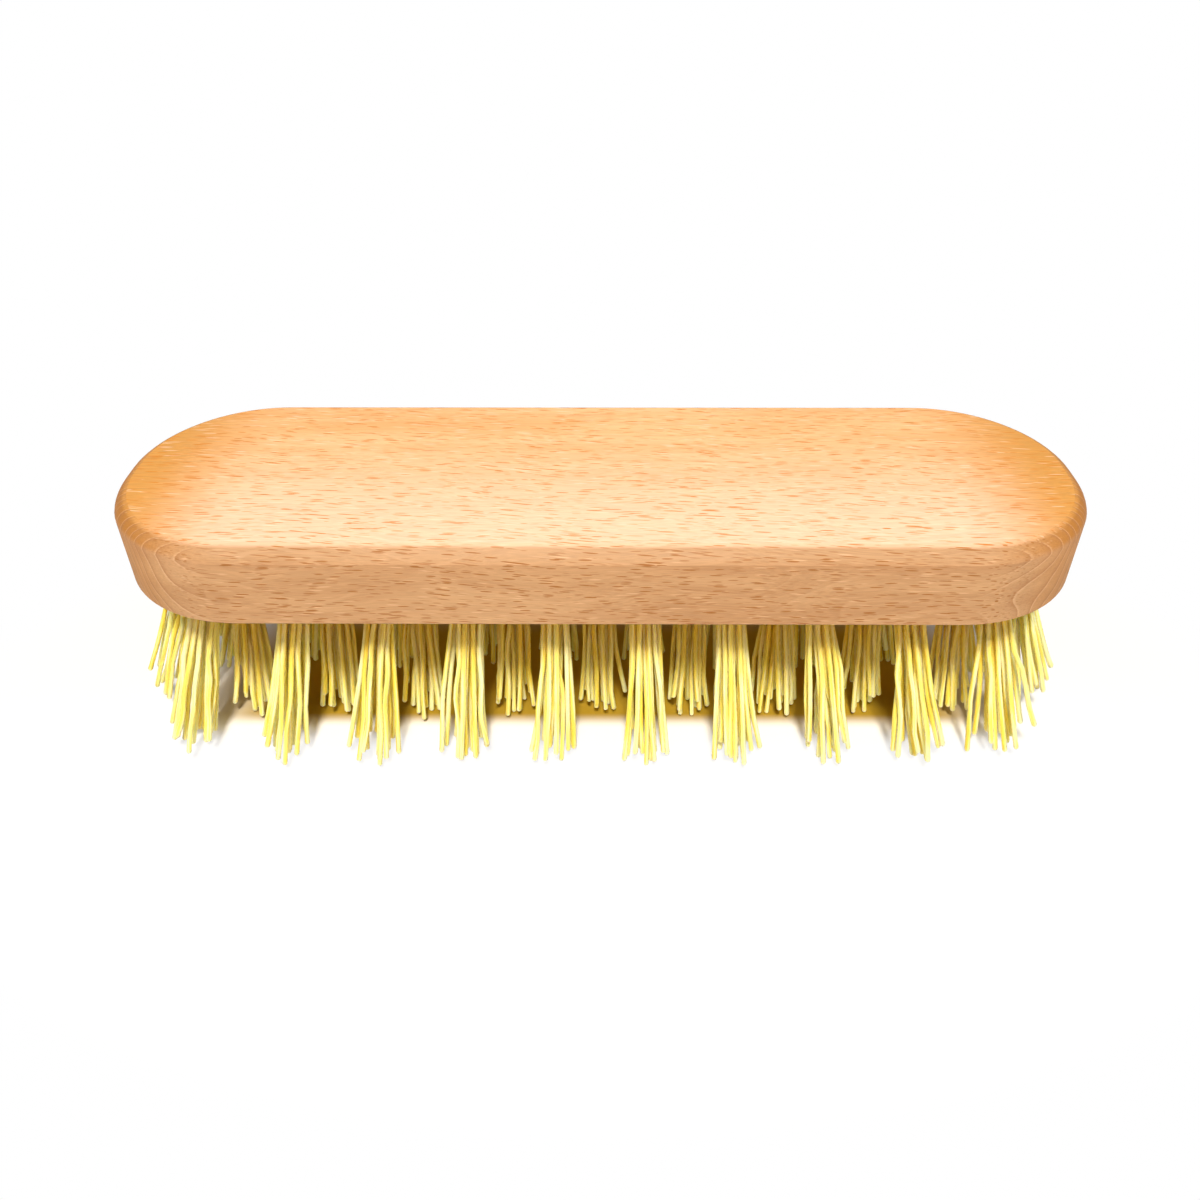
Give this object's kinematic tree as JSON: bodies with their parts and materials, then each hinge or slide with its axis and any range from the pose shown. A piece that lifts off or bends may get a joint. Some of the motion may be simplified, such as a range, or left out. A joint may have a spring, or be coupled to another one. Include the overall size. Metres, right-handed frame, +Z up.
{
  "type": "scrub brush",
  "caption": "Hand scrub brush: an oblong beech block with rounded ends and top edge, and rows of fanned, stapled synthetic bristle tufts under it.",
  "frame": {"origin": "on the surface that the bristle tips stand on, under the middle of the block", "axes": "+X along the block's length, +Y across it towards the back row of tufts, +Z up out of the flat top of the block"},
  "size_m": [0.166, 0.046, 0.0512],
  "materials": {
    "beech": "satin, sanded and waxed or lightly lacquered",
    "bristle": "slightly translucent pale yellow, with a soft sheen along each bristle",
    "staple_wire": "bright drawn wire"
  },
  "bodies": {
    "root": {"block": "beech", "staples": "staple_wire", "tuft_front_1": "bristle", "tuft_front_2": "bristle", "tuft_front_3": "bristle", "tuft_front_4": "bristle", "tuft_front_5": "bristle", "tuft_front_6": "bristle", "tuft_front_7": "bristle", "tuft_front_8": "bristle", "tuft_front_9": "bristle", "tuft_front_10": "bristle", "tuft_middle_1": "bristle", "tuft_middle_2": "bristle", "tuft_middle_3": "bristle", "tuft_middle_4": "bristle", "tuft_middle_5": "bristle", "tuft_middle_6": "bristle", "tuft_middle_7": "bristle", "tuft_middle_8": "bristle", "tuft_middle_9": "bristle", "tuft_back_1": "bristle", "tuft_back_2": "bristle", "tuft_back_3": "bristle", "tuft_back_4": "bristle", "tuft_back_5": "bristle", "tuft_back_6": "bristle", "tuft_back_7": "bristle", "tuft_back_8": "bristle", "tuft_back_9": "bristle", "tuft_back_10": "bristle", "tuft_end_left": "bristle", "tuft_end_right": "bristle"}
  },
  "joints": []
}
